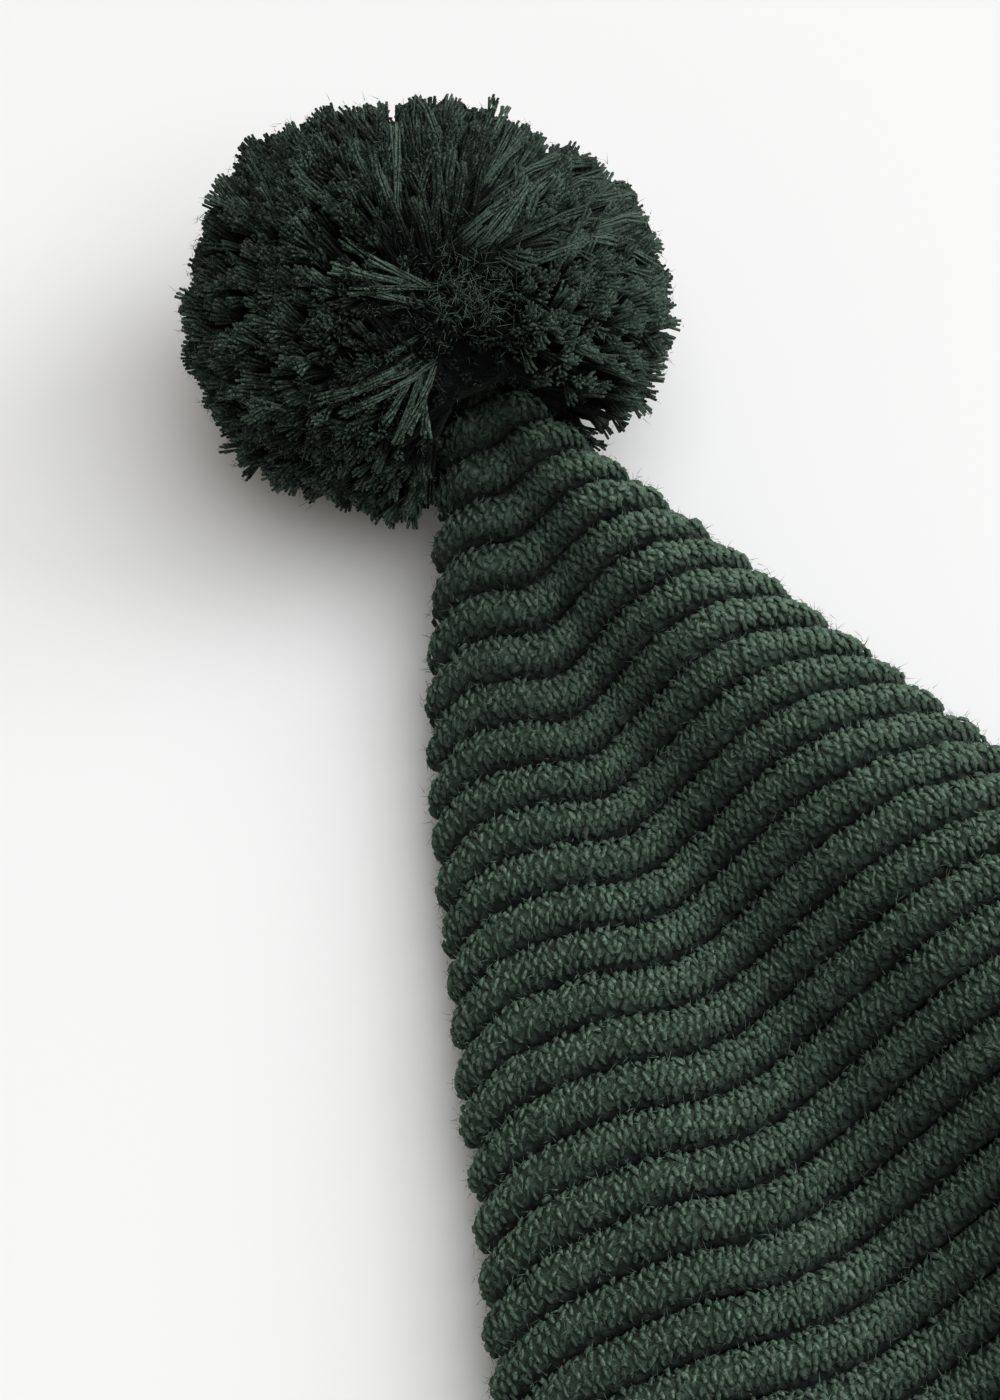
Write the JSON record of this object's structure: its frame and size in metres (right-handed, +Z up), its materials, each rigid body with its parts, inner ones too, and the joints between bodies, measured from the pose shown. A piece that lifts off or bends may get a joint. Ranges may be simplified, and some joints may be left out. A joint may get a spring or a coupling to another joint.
{
  "type": "elf hat",
  "caption": "Long knitted cone hat with round welts and a yarn pompom tied to its tip, lying flat with an open hollow inside.",
  "frame": {"origin": "on the surface that the hat lies on, under the middle of the whole hat", "axes": "+Y along the hat from its open rim to its pompom, +X across its flat width, +Z up from the surface"},
  "size_m": [0.2134, 0.3036, 0.0608],
  "materials": {
    "knit_yarn": "matt dark green wool, knitted in round welts, with a short soft fuzz",
    "cut_yarn": "matt dark green cut wool yarn, slightly darker than the knitting",
    "tie_yarn": "matt dark green wool yarn wound tight"
  },
  "bodies": {
    "root": {"knit_body": "knit_yarn", "pompom": "cut_yarn", "pompom_tie": "tie_yarn"}
  },
  "joints": []
}
